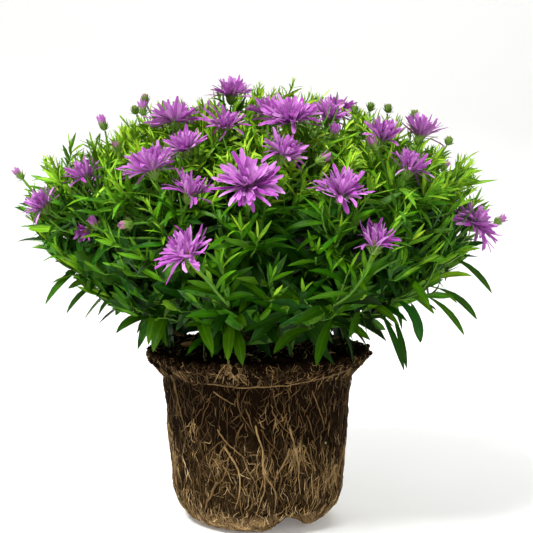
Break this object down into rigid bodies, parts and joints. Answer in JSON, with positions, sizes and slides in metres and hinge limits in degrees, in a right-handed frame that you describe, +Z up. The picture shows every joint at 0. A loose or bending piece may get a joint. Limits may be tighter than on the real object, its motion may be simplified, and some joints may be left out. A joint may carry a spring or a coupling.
{
  "type": "michaelmas daisy plant with bare root ball",
  "caption": "Bushy michaelmas daisy with lilac semi-double flowers and lance-shaped leaves on a root-bound compost ball that keeps the shape of its nursery pot.",
  "frame": {"origin": "middle of the root ball's flat underside", "axes": "+Z up along the root ball's axis, -Y towards the side with most flowers, +X to that side's right"},
  "size_m": [0.2778, 0.2672, 0.2449],
  "materials": {
    "compost": "matte",
    "root": "matte",
    "leaf": "satin",
    "petal": "matte",
    "bud": "matte"
  },
  "bodies": {
    "root": {"root_ball": "compost", "crown": "root", "ledge_root": "root", "face_root_01": "root", "face_root_02": "root", "face_root_03": "root", "face_root_04": "root", "face_root_05": "root", "face_root_06": "root", "bud_01": "bud", "bud_02": "bud", "bud_03": "bud", "bud_04": "bud", "bud_05": "bud", "bud_06": "bud", "flower_01": "petal", "flower_02": "petal", "flower_03": "petal", "flower_04": "petal", "flower_05": "petal", "flower_06": "petal", "flower_07": "petal", "flower_08": "petal", "flower_09": "petal", "flower_10": "petal", "flower_11": "petal", "flower_12": "petal", "flower_13": "petal", "flower_14": "petal", "flower_15": "petal", "flower_16": "petal", "flower_17": "petal", "flower_18": "petal", "flower_19": "petal", "flower_20": "petal", "shoot_01": "leaf", "shoot_02": "leaf", "shoot_03": "leaf", "shoot_04": "leaf", "shoot_05": "leaf", "shoot_06": "leaf", "shoot_07": "leaf", "shoot_08": "leaf", "shoot_09": "leaf", "shoot_10": "leaf", "shoot_11": "leaf", "shoot_12": "leaf", "shoot_13": "leaf", "shoot_14": "leaf", "shoot_15": "leaf", "shoot_16": "leaf", "shoot_17": "leaf", "shoot_18": "leaf", "shoot_19": "leaf", "shoot_20": "leaf", "shoot_21": "leaf", "shoot_22": "leaf", "shoot_23": "leaf", "shoot_24": "leaf", "shoot_25": "leaf"}
  },
  "joints": []
}
